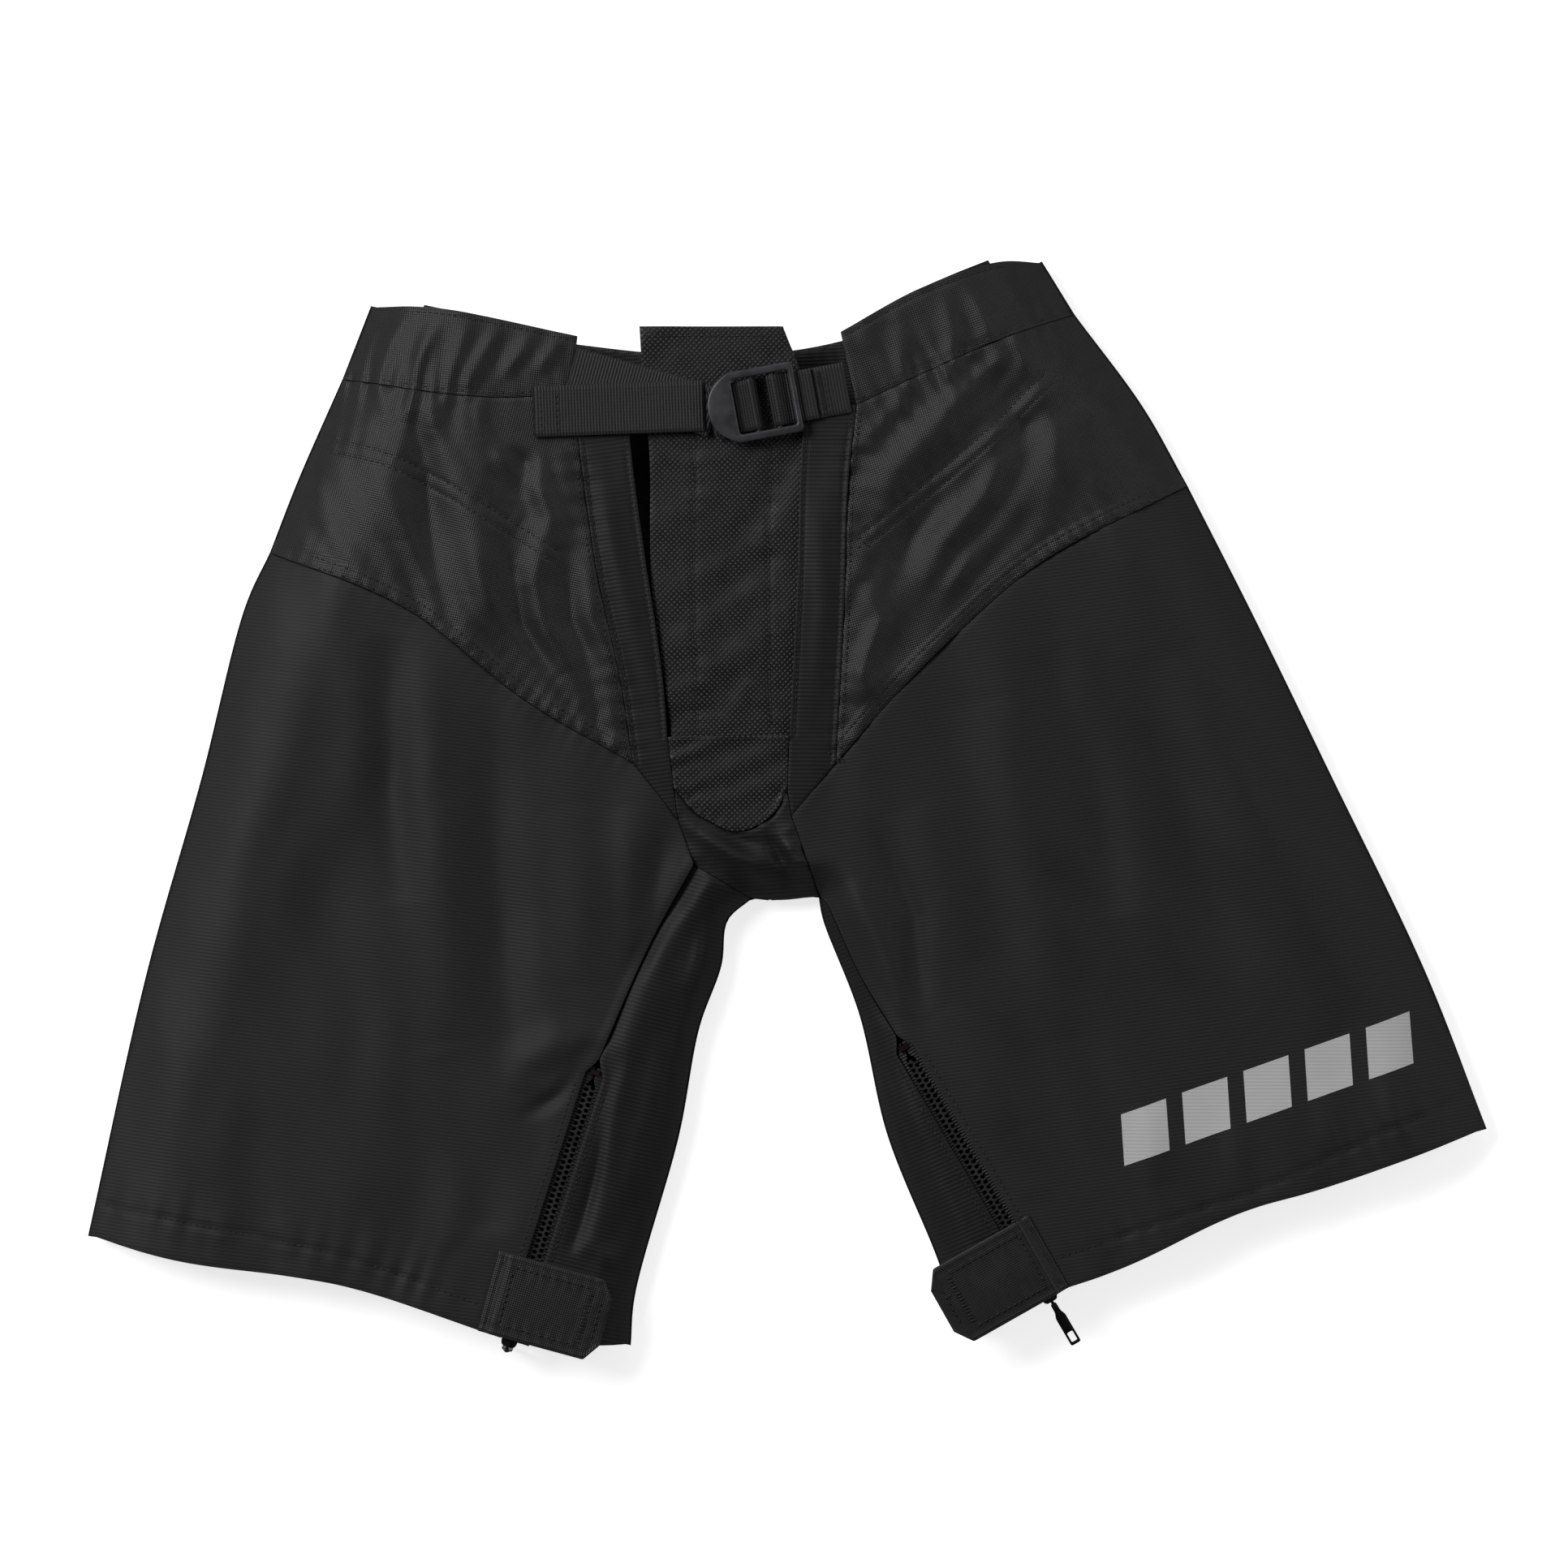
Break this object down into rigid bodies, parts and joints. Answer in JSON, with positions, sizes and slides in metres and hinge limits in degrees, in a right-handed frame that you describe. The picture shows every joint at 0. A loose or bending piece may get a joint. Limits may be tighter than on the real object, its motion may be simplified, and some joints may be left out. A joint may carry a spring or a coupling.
{
  "type": "ice hockey pants",
  "caption": "Thin unpadded ice hockey pant shell, laid flat with its front up: yokes, mesh fly tongue, buckled waist belt, wide legs and inner hem zips closed under tabs.",
  "frame": {"origin": "middle of the underside, on the surface that the pants lie on", "axes": "+X to the wearer's left, +Y from the hems to the waist, +Z out of the front, which faces up"},
  "size_m": [0.6912, 0.5416, 0.043],
  "materials": {
    "oxford": "slightly shiny coated black nylon with a small diamond weave",
    "twill": "matt black fine ribbed polyester",
    "stretch": "matt black ribbed stretch knit",
    "mesh": "black knitted mesh with small round holes",
    "webbing": "black woven polyester webbing and tape",
    "elastic": "black woven elastic and lining tape",
    "hook": "black hook and loop tape",
    "acetal": "satin black moulded plastic",
    "enamel": "glossy black lacquered metal"
  },
  "bodies": {
    "shell": {"front_leg_right": "twill", "front_leg_left": "twill", "inner_thigh_right": "stretch", "inner_thigh_left": "stretch", "front_yoke_right": "oxford", "front_yoke_left": "oxford", "fly_strip_right": "stretch", "fly_strip_left": "stretch", "tongue_pocket": "mesh", "crotch_gusset": "stretch", "fly_tongue": "mesh", "front_waistband_right": "oxford", "front_waistband_left": "oxford", "waistband_facing_right": "elastic", "waistband_facing_left": "elastic", "yoke_tape_right": "elastic", "yoke_tape_left": "elastic", "back_leg_right": "twill", "back_leg_left": "twill", "seat_right": "oxford", "seat_left": "oxford", "back_waistband_outer": "oxford", "waist_elastic": "elastic", "back_waistband_inner": "elastic", "zip_teeth_outer_right": "acetal", "zip_teeth_inner_right": "acetal", "zip_stop_right": "acetal", "zip_tape_outer_right": "webbing", "zip_tape_inner_right": "webbing", "zip_teeth_outer_left": "acetal", "zip_teeth_inner_left": "acetal", "zip_stop_left": "acetal", "zip_tape_outer_left": "webbing", "zip_tape_inner_left": "webbing", "loop_patch_right": "hook", "loop_patch_left": "hook", "belt_strap_loop": "webbing", "belt_anchor_loop": "webbing", "belt_strap": "webbing"},
    "zip_slider_right": {"zip_slider_right": "enamel"},
    "zip_slider_left": {"zip_slider_left": "enamel"},
    "zip_pull_right": {"zip_pull_right": "enamel"},
    "zip_pull_left": {"zip_pull_left": "enamel"},
    "hem_tab_right": {"hem_tab_right": "oxford", "hook_patch_right": "hook"},
    "hem_tab_left": {"hem_tab_left": "oxford", "hook_patch_left": "hook"},
    "belt_tail": {"belt_tail": "webbing"},
    "belt_buckle": {"belt_buckle": "acetal"}
  },
  "joints": [
    {"name": "zip_right_slide", "type": "slide", "parent": "shell", "child": "zip_slider_right", "axis": [0.3035, 0.9528, 0], "range_m": [0, 0.125], "deforming": ["zip_teeth_outer_right", "zip_teeth_inner_right"]},
    {"name": "zip_pull_right_swing", "type": "hinge", "parent": "zip_slider_right", "child": "zip_pull_right", "pos_m": [-0.13841, -0.26642, 0.02695], "axis": [-0.9528, 0.3035, 0], "range_deg": [0, 180]},
    {"name": "zip_left_slide", "type": "slide", "parent": "shell", "child": "zip_slider_left", "axis": [-0.5043, 0.8635, 0], "range_m": [0, 0.125], "deforming": ["zip_teeth_outer_left", "zip_teeth_inner_left"]},
    {"name": "zip_pull_left_swing", "type": "hinge", "parent": "zip_slider_left", "child": "zip_pull_left", "pos_m": [0.13139, -0.244, 0.02695], "axis": [-0.8635, -0.5043, 0], "range_deg": [-90, 90]},
    {"name": "hem_tab_right_peel", "type": "hinge", "parent": "shell", "child": "hem_tab_right", "pos_m": [-0.14718, -0.23694, 0.0279], "axis": [-0.2622, -0.965, 0], "range_deg": [0, 150]},
    {"name": "hem_tab_left_peel", "type": "hinge", "parent": "shell", "child": "hem_tab_left", "pos_m": [0.12862, -0.21754, 0.0279], "axis": [-0.4924, 0.8704, 0], "range_deg": [0, 150]},
    {"name": "belt_tail_lift", "type": "hinge", "parent": "shell", "child": "belt_tail", "pos_m": [-0.04087, 0.1986, 0.03945], "axis": [-0.0361, 0.9993, 0], "range_deg": [0, 85]},
    {"name": "buckle_tilt", "type": "hinge", "parent": "shell", "child": "belt_buckle", "pos_m": [0.00387, 0.20289, 0.0397], "axis": [-0.1822, 0.9833, 0], "range_deg": [0, 25], "deforming": ["belt_strap_loop", "belt_anchor_loop"]}
  ]
}
